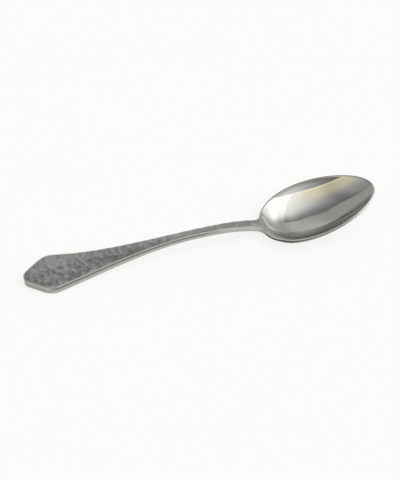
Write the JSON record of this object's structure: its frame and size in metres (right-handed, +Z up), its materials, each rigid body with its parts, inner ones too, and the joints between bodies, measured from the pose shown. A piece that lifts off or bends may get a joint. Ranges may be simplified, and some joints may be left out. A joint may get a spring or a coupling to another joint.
{
  "type": "dessert spoon",
  "caption": "One-piece steel spoon with a hammered, tapering handle, a blunt pointed end and an egg-shaped polished bowl.",
  "frame": {"origin": "on the table, under the middle of the spoon's length and width", "axes": "+X along the spoon from the handle's nose to the bowl's tip, +Z up from the table it rests on"},
  "size_m": [0.185, 0.0386, 0.0182],
  "materials": {
    "steel": "polished stainless steel, mirror bright in the bowl and hammered on the handle's upper face"
  },
  "bodies": {
    "root": {"spoon": "steel"}
  },
  "joints": []
}
